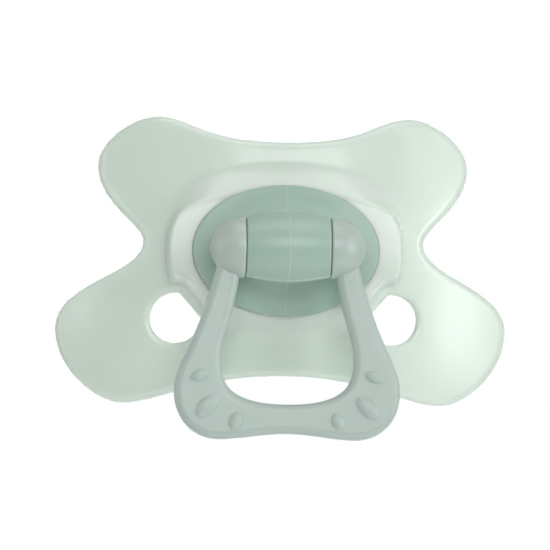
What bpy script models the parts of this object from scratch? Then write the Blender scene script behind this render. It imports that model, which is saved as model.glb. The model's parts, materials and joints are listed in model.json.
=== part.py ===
"""Pacifier: butterfly mouth shield, front knob with its carrying ring, silicone teat and locking plug.

Metres, +Z up. The front faces -Y and the teat points along +Y, towards the mouth. The origin is on the teat's
axis, at the mouth-side face of the shield. The ring turns on the knob's barrel, about a line along X.
"""

import math

import bmesh
import bpy
from mathutils import Matrix, Vector

MM = 0.001
CLEARANCE = 0.3 * MM
WELD_DISTANCE = 0.001 * MM
SLIVER = 0.03 * MM
OVERRUN = 2.0 * MM

# Shield
SHIELD_THICKNESS = 2.0 * MM
SHIELD_EDGE_RADIUS = 0.8 * MM
SHIELD_BEND_RADIUS_X = 42.0 * MM
SHIELD_BEND_RADIUS_Z = 80.0 * MM
SHIELD_SLICE = 3.0 * MM
REAR_BOSS_RADIUS = 8.8 * MM
REAR_BOSS_HEIGHT = 1.2 * MM
NECK_HOLE_RADIUS = 5.9 * MM
PLATFORM_HEIGHT = 1.4 * MM
PLATFORM_TOP = (13.4 * MM, 9.5 * MM)
PLATFORM_FOOT_RATIO = 1.1
PLATFORM_DEPTH = 3.6 * MM
SEAT_DEPTH = 0.5 * MM
VENT_RADIUS = 2.95 * MM
VENT_CENTRE = (13.0 * MM, -7.9 * MM)
VENT_FLAT_DISTANCE = 2.22 * MM
VENT_FLAT_ANGLE = math.radians(180.0 - 40.9)
VENT_CUT_DEPTH = 20.0 * MM

# Teat
TEAT_WALL = 0.9 * MM
TEAT_NECK_RADIUS = NECK_HOLE_RADIUS - CLEARANCE
TEAT_FLANGE_RADIUS = 7.1 * MM
TEAT_ROUND_UNTIL = 6.0 * MM
TEAT_FLAT_FROM = 19.0 * MM
TEAT_FLATNESS = 0.74

# Knob
PLATE_SEMI_AXES = (11.2 * MM, 7.9 * MM)
PLATE_RIM_THICKNESS = 0.4 * MM
STEM_RADIUS = 4.3 * MM
STEM_LENGTH = 5.8 * MM
STEM_CORE_RADIUS = 2.6 * MM
BARREL_HALF_LENGTH = 5.05 * MM
BARREL_MIDDLE_RADIUS = 4.3 * MM
BARREL_END_RADIUS = 3.6 * MM
BARREL_STANDOFF = 4.7 * MM
BARREL_STEPS = 32
SOCKET_RADIUS = 1.65 * MM
SOCKET_DEPTH = 2.2 * MM

# Ring
RING_THICKNESS = 2.5 * MM
RING_EDGE_RADIUS = 0.9 * MM
DOME_BASE_RADIUS = 3.67 * MM
DOME_LENGTH = 4.03 * MM
PIN_RADIUS = 1.45 * MM
PIN_LENGTH = 1.9 * MM
BUMP_HEIGHT = 0.5 * MM
BUMP_SINK = 0.05 * MM

# Locking plug
PLUG_HEAD_RADIUS = 5.3 * MM
PLUG_HEAD_LENGTH = 2.2 * MM
PLUG_SHANK_RADIUS = STEM_CORE_RADIUS - CLEARANCE
PLUG_SHANK_LENGTH = 5.0 * MM

# Places along Y, worked out from the sizes above
SHIELD_BACK = -REAR_BOSS_HEIGHT
SHIELD_FRONT = SHIELD_BACK - SHIELD_THICKNESS
PLATFORM_FRONT = SHIELD_FRONT - PLATFORM_HEIGHT
FLANGE_THICKNESS = TEAT_WALL
SEAT_FLOOR = PLATFORM_FRONT + SEAT_DEPTH
RECESS_FLOOR = SEAT_FLOOR + FLANGE_THICKNESS + 2 * CLEARANCE
PLATE_BACK = SEAT_FLOOR - CLEARANCE
PLATE_FRONT = PLATE_BACK - PLATE_RIM_THICKNESS
AXIS_Y = PLATE_FRONT - BARREL_STANDOFF
STEM_END = PLATE_BACK + STEM_LENGTH

# A symmetric outline is given by its right half, from one point on the mirror line to the other. Each node is
# x, z, the direction of travel, and the handle lengths before and after it, in millimetres.
SHIELD_OUTLINE = (
    (0.0, 13.3, (1, 0), 10.4, 10.4),
    (15.4, 16.5, (1, 0), 4.3, 2.7),
    (22.3, 10.6, (0, -1), 3.2, 4.6),
    (16.9, 1.4, (0, -1), 1.8, 4.1),
    (27.2, -8.8, (0, -1), 5.6, 4.9),
    (19.0, -18.0, (-1, 0), 3.3, 4.5),
    (0.0, -14.9, (-1, 0), 10.3, 10.3),
)
RING_OUTLINE = (
    (0.0, -22.3, (1, 0), 3.0, 3.0),
    (8.2, -23.0, (1, 0), 3.0, 2.8),
    (13.5, -17.3, (0, 1), 3.6, 3.6),
    (8.1, -0.4, (-0.21, 0.98), 11.5, 0.0),
    (5.6, -0.4, (0, -1), 0.0, 6.1),
    (7.9, -13.0, (0, -1), 2.4, 2.2),
    (0.0, -18.75, (-1, 0), 8.2, 8.2),
)
# Right-hand grip bumps: x, z, length, width and the length's angle above +X, in millimetres and degrees.
RING_BUMPS = (
    (10.4, -15.4, 2.0, 1.2, -18.0),
    (9.6, -19.1, 3.1, 1.7, -45.0),
    (6.1, -20.8, 1.9, 1.4, -65.0),
)
# Outer radius of the teat along its axis, from the flange to the tip, in millimetres.
TEAT_PROFILE = (
    (0.2, 5.6),
    (1.3, 6.7),
    (4.3, 6.7),
    (8.0, 5.9),
    (12.5, 6.4),
    (17.5, 8.3),
    (22.0, 9.0),
    (26.0, 7.9),
    (28.8, 5.0),
    (30.0, 0.0),
)

SAGE = (0.40, 0.50, 0.44, 1.0)
MINT = (0.72, 0.84, 0.74, 1.0)
CLEAR = (0.86, 0.87, 0.84, 1.0)
NATURAL = (0.80, 0.82, 0.78, 1.0)

TURNED_ALONG_Y = Matrix.Rotation(-math.pi / 2, 4, "X")
TURNED_ALONG_X = Matrix.Rotation(math.pi / 2, 4, "Y")
OUTLINE_TO_XZ = Matrix.Rotation(math.pi / 2, 4, "X")


def make_collection(name):
    collection = bpy.data.collections.new(name)
    bpy.context.scene.collection.children.link(collection)
    return collection


def make_material(name, colour, roughness):
    material = bpy.data.materials.new(name)
    material.use_nodes = True
    shader = material.node_tree.nodes["Principled BSDF"]
    shader.inputs["Base Color"].default_value = colour
    shader.inputs["Roughness"].default_value = roughness
    shader.inputs["Metallic"].default_value = 0.0
    material.diffuse_color = colour
    return material


def add_part(name, mesh, collection, material):
    mesh.materials.clear()
    mesh.materials.append(material)
    part = bpy.data.objects.new(name, mesh)
    collection.objects.link(part)
    return part


def add_cutter(name, mesh, collection):
    cutter = bpy.data.objects.new(name, mesh)
    cutter.hide_render = True
    cutter.display_type = "WIRE"
    collection.objects.link(cutter)
    return cutter


def apply_boolean(part, tool, operation):
    modifier = part.modifiers.new(f"{operation.lower()}_{tool.name}", "BOOLEAN")
    modifier.operation = operation
    modifier.object = tool
    modifier.solver = "EXACT"


def evaluated_mesh(obj):
    """The object's mesh with its modifiers applied; the object is removed."""
    bpy.context.scene.collection.objects.link(obj)
    depsgraph = bpy.context.evaluated_depsgraph_get()
    mesh = bpy.data.meshes.new_from_object(obj.evaluated_get(depsgraph))
    bpy.data.objects.remove(obj)
    return mesh


def weld(mesh):
    """Joins coincident points and turns every face outwards."""
    bm = bmesh.new()
    bm.from_mesh(mesh)
    bmesh.ops.remove_doubles(bm, verts=bm.verts, dist=WELD_DISTANCE)
    bmesh.ops.recalc_face_normals(bm, faces=bm.faces)
    bm.to_mesh(mesh)
    bm.free()


def turned_mesh(name, profile, steps, placement):
    """A solid turned about its own Z from (radius, height) points that run down its outer side."""
    line = bpy.data.meshes.new(name)
    points = [(radius, 0.0, height) for radius, height in profile]
    line.from_pydata(points, [(i, i + 1) for i in range(len(points) - 1)], [])
    turned = bpy.data.objects.new(name, line)
    screw = turned.modifiers.new("turn", "SCREW")
    screw.axis = "Z"
    screw.angle = 2 * math.pi
    screw.steps = steps
    screw.render_steps = steps
    screw.use_merge_vertices = True
    screw.merge_threshold = WELD_DISTANCE
    mesh = evaluated_mesh(turned)
    weld(mesh)
    mesh.transform(placement)
    return mesh


def cylinder_mesh(name, radius, end_radius, length, segments, placement):
    """A round bar or cone along its own Z, from height 0 to its length, with flats on its X and Y axes."""
    bm = bmesh.new()
    raised = Matrix.Translation((0, 0, length / 2)) @ Matrix.Rotation(math.pi / segments, 4, "Z")
    bmesh.ops.create_cone(
        bm,
        cap_ends=True,
        segments=segments,
        radius1=radius,
        radius2=end_radius,
        depth=length,
        matrix=placement @ raised,
    )
    mesh = bpy.data.meshes.new(name)
    bm.to_mesh(mesh)
    bm.free()
    return mesh


def along_y(y):
    """Places a turned piece with its own Z along +Y, starting at y."""
    return Matrix.Translation((0, y, 0)) @ TURNED_ALONG_Y


def mirrored_loop(half):
    """Bezier nodes (point, handle before, handle after) of a closed outline from its right half."""
    nodes = [(Vector((x, z)), Vector(way).normalized(), before, after) for x, z, way, before, after in half]
    for point, way, before, after in reversed(nodes[1:-1]):
        nodes.append((Vector((-point.x, point.y)), Vector((way.x, -way.y)), after, before))
    return [(p * MM, (p - way * before) * MM, (p + way * after) * MM) for p, way, before, after in nodes]


def vent_loop(side):
    """A circle with a straight flat towards the knob; side is 1 on the right and -1 on the left."""
    centre = Vector((side * VENT_CENTRE[0], VENT_CENTRE[1]))
    half_gap = math.acos(VENT_FLAT_DISTANCE / VENT_RADIUS)
    pieces = 4
    step = (2 * math.pi - 2 * half_gap) / pieces
    handle = 4 / 3 * math.tan(step / 4) * VENT_RADIUS
    nodes = []
    for i in range(pieces + 1):
        angle = VENT_FLAT_ANGLE + half_gap + i * step
        outward = Vector((side * math.cos(angle), math.sin(angle)))
        along = Vector((-side * math.sin(angle), math.cos(angle)))
        point = centre + outward * VENT_RADIUS
        before = 0 if i == 0 else handle
        after = 0 if i == pieces else handle
        nodes.append((point, point - along * before, point + along * after))
    return nodes


def outline_mesh(name, nodes, thickness, edge_radius, resolution):
    """A plate in the XZ plane, centred on y = 0, with rounded edges inside its outline."""
    curve = bpy.data.curves.new(name, "CURVE")
    curve.dimensions = "2D"
    curve.fill_mode = "BOTH"
    curve.resolution_u = resolution
    curve.extrude = thickness / 2 - edge_radius
    curve.bevel_depth = edge_radius
    curve.bevel_resolution = 1
    curve.offset = -edge_radius
    spline = curve.splines.new("BEZIER")
    spline.bezier_points.add(len(nodes) - 1)
    for bezier, (point, before, after) in zip(spline.bezier_points, nodes):
        bezier.handle_left_type = "FREE"
        bezier.handle_right_type = "FREE"
        bezier.co = (*point, 0)
        bezier.handle_left = (*before, 0)
        bezier.handle_right = (*after, 0)
    spline.use_cyclic_u = True
    mesh = evaluated_mesh(bpy.data.objects.new(name, curve))
    weld(mesh)
    mesh.transform(OUTLINE_TO_XZ)
    return mesh


def bend_plate(mesh):
    """Cuts the plate's flat faces into a grid and curves it back towards the cheeks and chin."""
    bm = bmesh.new()
    bm.from_mesh(mesh)
    flat = math.radians(0.5)
    bmesh.ops.dissolve_limit(bm, angle_limit=flat, verts=bm.verts, edges=bm.edges)
    for normal in (Vector((1, 0, 0)), Vector((0, 0, 1))):
        reach = max(abs(v.co.dot(normal)) for v in bm.verts)
        count = int(reach / SHIELD_SLICE)
        for i in range(-count - 1, count + 1):
            cut = normal * (i + 0.5) * SHIELD_SLICE
            geometry = list(bm.verts) + list(bm.edges) + list(bm.faces)
            bmesh.ops.bisect_plane(bm, geom=geometry, plane_co=cut, plane_no=normal)
    bmesh.ops.remove_doubles(bm, verts=bm.verts, dist=SLIVER)
    for v in bm.verts:
        v.co.y += v.co.x**2 / (2 * SHIELD_BEND_RADIUS_X) + v.co.z**2 / (2 * SHIELD_BEND_RADIUS_Z)
    bmesh.ops.triangulate(bm, faces=bm.faces)
    bm.to_mesh(mesh)
    bm.free()


def smooth_profile(points, steps):
    """Points on a Catmull-Rom curve through (height, radius) points."""
    padded = [points[0], *points, points[-1]]
    smooth = []
    for i in range(len(points) - 1):
        p0, p1, p2, p3 = (Vector(p) for p in padded[i : i + 4])
        for k in range(steps):
            t = k / steps
            smooth.append(
                0.5
                * (
                    2 * p1
                    + (p2 - p0) * t
                    + (2 * p0 - 5 * p1 + 4 * p2 - p3) * t**2
                    + (3 * p1 - p0 - 3 * p2 + p3) * t**3
                )
            )
    smooth.append(Vector(points[-1]))
    return smooth


def shade_round(part, sharp_angle):
    part.data.shade_smooth()
    part.data.set_sharp_from_angle(angle=math.radians(sharp_angle))


def build_shield(parts, cutters, material):
    mesh = outline_mesh("shield", mirrored_loop(SHIELD_OUTLINE), SHIELD_THICKNESS, SHIELD_EDGE_RADIUS, 6)
    mesh.transform(Matrix.Translation((0, SHIELD_BACK - SHIELD_THICKNESS / 2, 0)))
    bend_plate(mesh)
    shield = add_part("shield", mesh, parts, material)

    platform = cylinder_mesh(
        "shield_platform", 1.0, PLATFORM_FOOT_RATIO, PLATFORM_DEPTH, 48, along_y(PLATFORM_FRONT)
    )
    platform.transform(Matrix.Diagonal((PLATFORM_TOP[0], 1, PLATFORM_TOP[1], 1)))
    apply_boolean(shield, add_cutter("shield_platform", platform, cutters), "UNION")

    seat = cylinder_mesh("plate_seat", 1.0, 1.0, SEAT_DEPTH + OVERRUN, 48, along_y(PLATFORM_FRONT - OVERRUN))
    half_width, half_height = (axis + CLEARANCE for axis in PLATE_SEMI_AXES)
    seat.transform(Matrix.Diagonal((half_width, 1, half_height, 1)))
    apply_boolean(shield, add_cutter("plate_seat", seat, cutters), "DIFFERENCE")

    boss = cylinder_mesh(
        "shield_boss", REAR_BOSS_RADIUS, REAR_BOSS_RADIUS, SHIELD_THICKNESS, 48, along_y(-SHIELD_THICKNESS)
    )
    apply_boolean(shield, add_cutter("shield_boss", boss, cutters), "UNION")

    hole_start = PLATFORM_FRONT - OVERRUN
    hole = cylinder_mesh(
        "neck_hole", NECK_HOLE_RADIUS, NECK_HOLE_RADIUS, OVERRUN - hole_start, 40, along_y(hole_start)
    )
    apply_boolean(shield, add_cutter("neck_hole", hole, cutters), "DIFFERENCE")

    recess_radius = TEAT_FLANGE_RADIUS + CLEARANCE
    recess = cylinder_mesh(
        "flange_recess", recess_radius, recess_radius, RECESS_FLOOR - hole_start, 40, along_y(hole_start)
    )
    apply_boolean(shield, add_cutter("flange_recess", recess, cutters), "DIFFERENCE")

    for side, name in ((1, "vent_right"), (-1, "vent_left")):
        vent = outline_mesh(name, vent_loop(side), VENT_CUT_DEPTH, 0.0, 6)
        apply_boolean(shield, add_cutter(name, vent, cutters), "DIFFERENCE")
    return shield


def build_knob(parts, cutters, material):
    """One moulding: oval plate, flared pedestal, barrel with two blind pin sockets, and hollow stem."""
    rim = PLATE_FRONT - PLATE_BACK
    profile = (
        (0.0, 0.0),
        (0.97, 0.0),
        (1.0, rim * 0.3),
        (1.0, rim * 0.7),
        (0.97, rim),
        (0.70, rim - 0.35 * MM),
        (0.50, rim - 0.65 * MM),
        (0.45, rim - 1.0 * MM),
        (0.42, rim - 2.0 * MM),
        (0.40, AXIS_Y - PLATE_BACK),
        (0.0, AXIS_Y - PLATE_BACK),
    )
    mesh = turned_mesh("knob", profile, 40, along_y(PLATE_BACK))
    mesh.transform(Matrix.Diagonal((PLATE_SEMI_AXES[0], 1, PLATE_SEMI_AXES[1], 1)))
    knob = add_part("knob", mesh, parts, material)

    swell = BARREL_MIDDLE_RADIUS - BARREL_END_RADIUS
    stations = 6
    outside = []
    for i in range(stations + 1):
        t = 1 - 2 * i / stations
        outside.append((BARREL_END_RADIUS + swell * (1 - t**2), t * BARREL_HALF_LENGTH))
    ends = [(0.0, BARREL_HALF_LENGTH), *outside, (0.0, -BARREL_HALF_LENGTH)]
    half_step = Matrix.Rotation(math.pi / BARREL_STEPS, 4, "Z")
    to_axis = Matrix.Translation((0, AXIS_Y, 0)) @ TURNED_ALONG_X @ half_step
    barrel = turned_mesh("barrel", ends, BARREL_STEPS, to_axis)
    apply_boolean(knob, add_cutter("barrel", barrel, cutters), "UNION")

    stem_start = PLATE_FRONT
    stem = cylinder_mesh(
        "stem", STEM_RADIUS, STEM_RADIUS, STEM_END - stem_start, 32, along_y(stem_start)
    )
    apply_boolean(knob, add_cutter("stem", stem, cutters), "UNION")
    core_start = AXIS_Y / 2
    core_length = STEM_END + OVERRUN - core_start
    core = cylinder_mesh(
        "stem_core", STEM_CORE_RADIUS, STEM_CORE_RADIUS, core_length, 24, along_y(core_start)
    )
    apply_boolean(knob, add_cutter("stem_core", core, cutters), "DIFFERENCE")

    for side, name in ((1, "socket_right"), (-1, "socket_left")):
        start = Matrix.Translation((side * (BARREL_HALF_LENGTH - SOCKET_DEPTH), AXIS_Y, 0))
        outward = Matrix.Rotation(side * math.pi / 2, 4, "Y")
        socket = cylinder_mesh(
            name, SOCKET_RADIUS, SOCKET_RADIUS, SOCKET_DEPTH + OVERRUN, 28, start @ outward
        )
        apply_boolean(knob, add_cutter(name, socket, cutters), "DIFFERENCE")
    return knob


def build_ring(parts, cutters, material):
    """One moulding, its origin on the hinge axis: legs, bottom bar, end domes, stub pins and grip bumps."""
    mesh = outline_mesh("ring_handle", mirrored_loop(RING_OUTLINE), RING_THICKNESS, RING_EDGE_RADIUS, 8)
    ring = add_part("ring_handle", mesh, parts, material)
    ring.location = (0, AXIS_Y, 0)

    dome_base = BARREL_HALF_LENGTH + CLEARANCE
    stations = 6
    profile = []
    for i in range(stations + 1):
        angle = math.pi / 2 * (1 - i / stations)
        profile.append((DOME_BASE_RADIUS * math.cos(angle), DOME_LENGTH * math.sin(angle)))
    profile += [(PIN_RADIUS, 0.0), (PIN_RADIUS, -PIN_LENGTH), (0.0, -PIN_LENGTH)]
    for side, name in ((1, "dome_right"), (-1, "dome_left")):
        placement = Matrix.Translation((side * dome_base, 0, 0)) @ Matrix.Rotation(side * math.pi / 2, 4, "Y")
        dome = add_cutter(name, turned_mesh(name, profile, 32, placement), cutters)
        dome.location = ring.location
        apply_boolean(ring, dome, "UNION")

    bm = bmesh.new()
    for side in (1, -1):
        for x, z, length, width, angle in RING_BUMPS:
            place = Matrix.Translation((side * x * MM, BUMP_SINK - RING_THICKNESS / 2, z * MM))
            turn = Matrix.Rotation(math.radians(-side * angle), 4, "Y")
            size = Matrix.Diagonal((length / 2 * MM, BUMP_HEIGHT, width / 2 * MM, 1))
            bmesh.ops.create_uvsphere(bm, u_segments=12, v_segments=6, radius=1.0, matrix=place @ turn @ size)
    bumps_mesh = bpy.data.meshes.new("grip_bumps")
    bm.to_mesh(bumps_mesh)
    bm.free()
    bumps = add_cutter("grip_bumps", bumps_mesh, cutters)
    bumps.location = ring.location
    apply_boolean(ring, bumps, "UNION")
    return ring


def build_teat(parts, material):
    """A flattened drop with a round neck and flange: an open turned surface with a wall inside it."""
    smooth = smooth_profile(TEAT_PROFILE, 2)
    outside = [(max(radius, 0.0) * MM, height * MM) for height, radius in reversed(smooth)]
    flange_back = RECESS_FLOOR - CLEARANCE
    outside += [(TEAT_NECK_RADIUS, flange_back), (TEAT_FLANGE_RADIUS, flange_back)]
    mesh = turned_mesh("teat", outside, 28, along_y(0))
    for v in mesh.vertices:
        t = (v.co.y - TEAT_ROUND_UNTIL) / (TEAT_FLAT_FROM - TEAT_ROUND_UNTIL)
        t = min(max(t, 0), 1)
        v.co.z *= 1 - (1 - TEAT_FLATNESS) * t * t * (3 - 2 * t)
    teat = add_part("teat", mesh, parts, material)
    wall = teat.modifiers.new("wall", "SOLIDIFY")
    wall.thickness = TEAT_WALL
    wall.offset = -1
    wall.use_even_offset = True
    return teat


def build_teat_plug(parts, material):
    """A domed head that fills the teat's neck behind the shield, and a shank for the knob's stem."""
    head_start = STEM_END + CLEARANCE
    shank_end = head_start - PLUG_SHANK_LENGTH
    profile = (
        (0.0, head_start + PLUG_HEAD_LENGTH),
        (PLUG_HEAD_RADIUS * 0.6, head_start + PLUG_HEAD_LENGTH * 0.9),
        (PLUG_HEAD_RADIUS * 0.9, head_start + PLUG_HEAD_LENGTH * 0.6),
        (PLUG_HEAD_RADIUS, head_start + PLUG_HEAD_LENGTH * 0.3),
        (PLUG_HEAD_RADIUS, head_start),
        (PLUG_SHANK_RADIUS, head_start),
        (PLUG_SHANK_RADIUS, shank_end),
        (0.0, shank_end),
    )
    return add_part("teat_plug", turned_mesh("teat_plug", profile, 24, along_y(0)), parts, material)


def main():
    for obj in list(bpy.data.objects):
        bpy.data.objects.remove(obj)
    parts = make_collection("pacifier")
    cutters = make_collection("pacifier_cutters")
    sage = make_material("knob_sage", SAGE, 0.35)
    made = [
        build_shield(parts, cutters, make_material("shield_mint", MINT, 0.25)),
        build_knob(parts, cutters, sage),
        build_ring(parts, cutters, make_material("ring_sage", SAGE, 0.35)),
        build_teat(parts, make_material("teat_silicone", CLEAR, 0.15)),
        build_teat_plug(parts, make_material("plug_natural", NATURAL, 0.4)),
    ]
    for part in made:
        shade_round(part, 35)


main()
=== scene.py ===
"""Pacifier: fine meshes, materials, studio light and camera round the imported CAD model.

Metres, in the model's own frame: +Z up, the front faces -Y and the teat points along +Y. Lengths written in
millimetres are multiplied by MM. Every CAD node is replaced by a detailed piece of the same size and place.
"""

import json
import math

import bmesh
import bpy
import numpy as np
from mathutils import Matrix, Vector
from mathutils.geometry import delaunay_2d_cdt
from mathutils.kdtree import KDTree


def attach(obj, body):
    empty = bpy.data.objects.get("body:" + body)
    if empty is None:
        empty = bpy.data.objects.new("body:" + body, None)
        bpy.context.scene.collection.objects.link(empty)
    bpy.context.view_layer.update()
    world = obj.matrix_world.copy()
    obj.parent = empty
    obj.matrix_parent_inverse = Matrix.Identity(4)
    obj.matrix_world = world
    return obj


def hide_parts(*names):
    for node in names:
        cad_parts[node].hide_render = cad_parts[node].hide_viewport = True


MM = 0.001

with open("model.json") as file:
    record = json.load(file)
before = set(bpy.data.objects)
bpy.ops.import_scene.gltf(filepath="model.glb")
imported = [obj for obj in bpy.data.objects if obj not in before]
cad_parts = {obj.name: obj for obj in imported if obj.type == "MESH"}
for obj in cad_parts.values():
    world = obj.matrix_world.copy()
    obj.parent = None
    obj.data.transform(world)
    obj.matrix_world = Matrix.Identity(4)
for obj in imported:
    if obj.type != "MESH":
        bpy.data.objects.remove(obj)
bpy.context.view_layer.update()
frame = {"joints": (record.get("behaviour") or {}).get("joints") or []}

# The hinge line comes from the frame. The other sizes repeat the CAD design's, apart from the platform
# round the knob, the narrower gaps and the small details on the barrel.
AXIS_Y = frame["joints"][0]["pos_m"][1]
WELD_DISTANCE = 0.001 * MM
# How far a cutting tool reaches past what it cuts.
OVERRUN = 3.0 * MM
ROUNDING_STEPS = 6

# Filling a flat face: a face is flat above this normal component, and new points keep these shares of the
# pitch from the points that are there already.
FLAT_FACE_NORMAL = 0.9999
EXTRA_POINT_CLEARANCE = 0.3
GRID_POINT_CLEARANCE = 0.55
TRIANGULATION_TOLERANCE = 1e-9

SHIELD_THICKNESS = 2.0 * MM
SHIELD_EDGE_RADIUS = 0.92 * MM
SHIELD_BEND_RADIUS_X = 42.0 * MM
SHIELD_BEND_RADIUS_Z = 80.0 * MM
SHIELD_CENTRE_BACK = -1.2 * MM
SHIELD_GRID = 0.34 * MM
SHIELD_CURVE_STEPS = 24
SHIELD_SHARP_ANGLE = 40
PLATFORM_SEMI_AXES = (13.65 * MM, 8.15 * MM)
PLATFORM_SQUARENESS = 2.6
PLATFORM_FRONT = -4.6 * MM
PLATFORM_BEND_RADIUS_Z = 60.0 * MM
# The flank's width where it is steep and where it is gentle. A direction from the middle counts from 0,
# sideways, to 1, straight up or down. The flank is steep up to a pair's first value, and turns gentle over
# the pair's second.
PLATFORM_FLANKS = (0.6 * MM, 4.6 * MM)
PLATFORM_SPREAD_ABOVE = (0.0, 0.8)
PLATFORM_SPREAD_BELOW = (0.45, 0.5)
PLATFORM_VENT_MARGIN = 1.3 * MM
PLATFORM_INSET = 1.7 * MM
# Rings of mesh points round the platform where its flank is steep, in millimetres outside its oval.
PLATFORM_RINGS = (-0.4, -0.2, -0.1, *(0.04 * i for i in range(18)), 0.8, 1.0, 1.3)
PLATFORM_RING_POINTS = 560
PLATFORM_STEEP_SPREAD = 0.4
# Keeps a point at the very middle of the platform from being divided by zero.
SMALLEST_RING = 1e-6
SEAT_SEMI_AXES = (11.215 * MM, 7.915 * MM)
SEAT_FLOOR = -4.1 * MM
SEAT_SEGMENTS = 160
BOSS_FLAT_RADIUS = 7.9 * MM
BOSS_FOOT_RADIUS = 10.4 * MM
NECK_HOLE_RADIUS = 5.9 * MM
NECK_HOLE_ROUNDING = 0.35 * MM
FLANGE_RECESS_RADIUS = 7.4 * MM
FLANGE_RECESS_FLOOR = -2.6 * MM
BORE_SEGMENTS = 96
VENT_RADIUS = 2.95 * MM
VENT_CENTRE = (13.0 * MM, -7.9 * MM)
VENT_FLAT_DISTANCE = 2.22 * MM
VENT_FLAT_ANGLE = math.radians(180.0 - 40.9)
VENT_ARCS = 4

KNOB_RIM_FRONT = -4.8 * MM
KNOB_PLATE_BACK = -4.12 * MM
KNOB_RIM_ROUNDING = 0.2 * MM
KNOB_SEGMENTS = 480
KNOB_RIM_STEPS = 8
KNOB_FLARE_STEPS = 5
KNOB_SHARP_ANGLE = 35
# How strongly the points of a section crowd towards the middle plane, where the parting line is.
KNOB_CROWDING = 0.3
# A section's exponent is 2, an ellipse, and grows by this much, from one level on and over so many.
KNOB_SQUARENESS_GROWTH = 0.6
KNOB_SQUARENESS_START = 10
KNOB_SQUARENESS_LEVELS = 20
PARTING_LINE_FIRST_LEVEL = 6
STEM_RADIUS = 4.3 * MM
STEM_END = 1.4 * MM
STEM_SEGMENTS = 72
STEM_CORE_RADIUS = 2.6 * MM
STEM_CORE_SEGMENTS = 56
BARREL_HALF_LENGTH = 5.05 * MM
BARREL_MIDDLE_RADIUS = 4.3 * MM
BARREL_END_RADIUS = 3.6 * MM
BARREL_END_ROUNDING = 0.28 * MM
BARREL_SEGMENTS = 360
BARREL_LINE_STEPS = 8
BARREL_SIDE_STEPS = 30
# The lip under the barrel and the undercut behind it: angles in degrees, from the front to the underside.
LIP_HEIGHT = 0.2 * MM
LIP_ANGLE = 69.0
LIP_HALF_WIDTH = 4.5
UNDERCUT_DEPTH = 0.5 * MM
UNDERCUT_WIDTH = 25.0
SOCKET_RADIUS = 1.65 * MM
SOCKET_DEPTH = 2.2 * MM
SOCKET_SEGMENTS = 44
PARTING_LINE_HEIGHT = 0.04 * MM
PARTING_LINE_HALF_WIDTH = 0.13 * MM
PARTING_LINE_FOOT = 1.5

RING_THICKNESS = 2.5 * MM
RING_EDGE_RADIUS = 0.95 * MM
RING_GRID = 0.16 * MM
RING_CURVE_STEPS = 28
RING_EDGE_STEPS = 7
RING_SHARP_ANGLE = 35
DOME_START = 5.11 * MM
DOME_BASE_RADIUS = 3.67 * MM
DOME_LENGTH = 4.21 * MM
DOME_RIM_ROUNDING = 0.25 * MM
DOME_SEGMENTS = 112
DOME_STEPS = 30
DOME_SWEEP = 87
PIN_RADIUS = 1.45 * MM
PIN_LENGTH = 1.9 * MM
# A bump is a dome on a foot of its own outline's shape; both heights are shares of the whole.
BUMP_HEIGHT = 0.5 * MM
BUMP_DOME_SHARE = 0.85
BUMP_FOOT_SHARE = 0.15
BUMP_FOOT_REACH = 1.3
BUMP_SQUARENESS = 1.8
# The front layer of the ring that moves with the bumps: where it starts and its depth, in half thicknesses.
BUMPED_FROM = 0.8
BUMPED_DEPTH = 0.2

TEAT_WALL = 0.9 * MM
TEAT_NECK_RADIUS = 5.6 * MM
TEAT_FLANGE_RADIUS = 7.1 * MM
TEAT_FLANGE_BACK = -2.9 * MM
TEAT_ROUND_UNTIL = 6.0 * MM
TEAT_FLAT_FROM = 19.0 * MM
TEAT_FLATNESS = 0.74
TEAT_SEGMENTS = 96
TEAT_CURVE_STEPS = 8
TEAT_SHARP_ANGLE = 50

PLUG_HEAD_RADIUS = 5.3 * MM
PLUG_HEAD_START = 1.7 * MM
PLUG_HEAD_LENGTH = 2.2 * MM
PLUG_SHANK_RADIUS = 2.3 * MM
PLUG_SHANK_END = -3.3 * MM
PLUG_HEAD_EDGE = 0.3 * MM
PLUG_HEAD_FULLNESS = 0.7
PLUG_HEAD_STEPS = 16
PLUG_CHAMFER = 0.3 * MM
PLUG_SEGMENTS = 72
PLUG_SHARP_ANGLE = 35

# A symmetric outline is given by its right half, from one point on the mirror line to the other. Each node
# is x, z, the direction of travel, and the handle lengths before and after it, in millimetres.
SHIELD_OUTLINE = (
    (0.0, 13.3, (1, 0), 10.4, 10.4),
    (15.4, 16.5, (1, 0), 4.3, 2.7),
    (22.3, 10.6, (0, -1), 3.2, 4.6),
    (16.9, 1.4, (0, -1), 1.8, 4.1),
    (27.2, -8.8, (0, -1), 5.6, 4.9),
    (19.0, -18.0, (-1, 0), 3.3, 4.5),
    (0.0, -14.9, (-1, 0), 10.3, 10.3),
)
RING_OUTLINE = (
    (0.0, -22.3, (1, 0), 3.0, 3.0),
    (8.2, -23.0, (1, 0), 3.0, 2.8),
    (13.5, -17.3, (0, 1), 3.6, 3.6),
    (8.1, -0.4, (-0.21, 0.98), 11.5, 0.0),
    (5.6, -0.4, (0, -1), 0.0, 6.1),
    (7.9, -13.0, (0, -1), 2.4, 2.2),
    (0.0, -18.75, (-1, 0), 8.2, 8.2),
)
# Right-hand grip bumps: x, z, length, width and the length's angle above +X, in millimetres and degrees.
RING_BUMPS = (
    (10.4, -15.4, 2.2, 1.35, -18.0),
    (9.6, -19.1, 3.3, 1.9, -45.0),
    (6.1, -20.8, 2.1, 1.5, -65.0),
)
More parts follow.
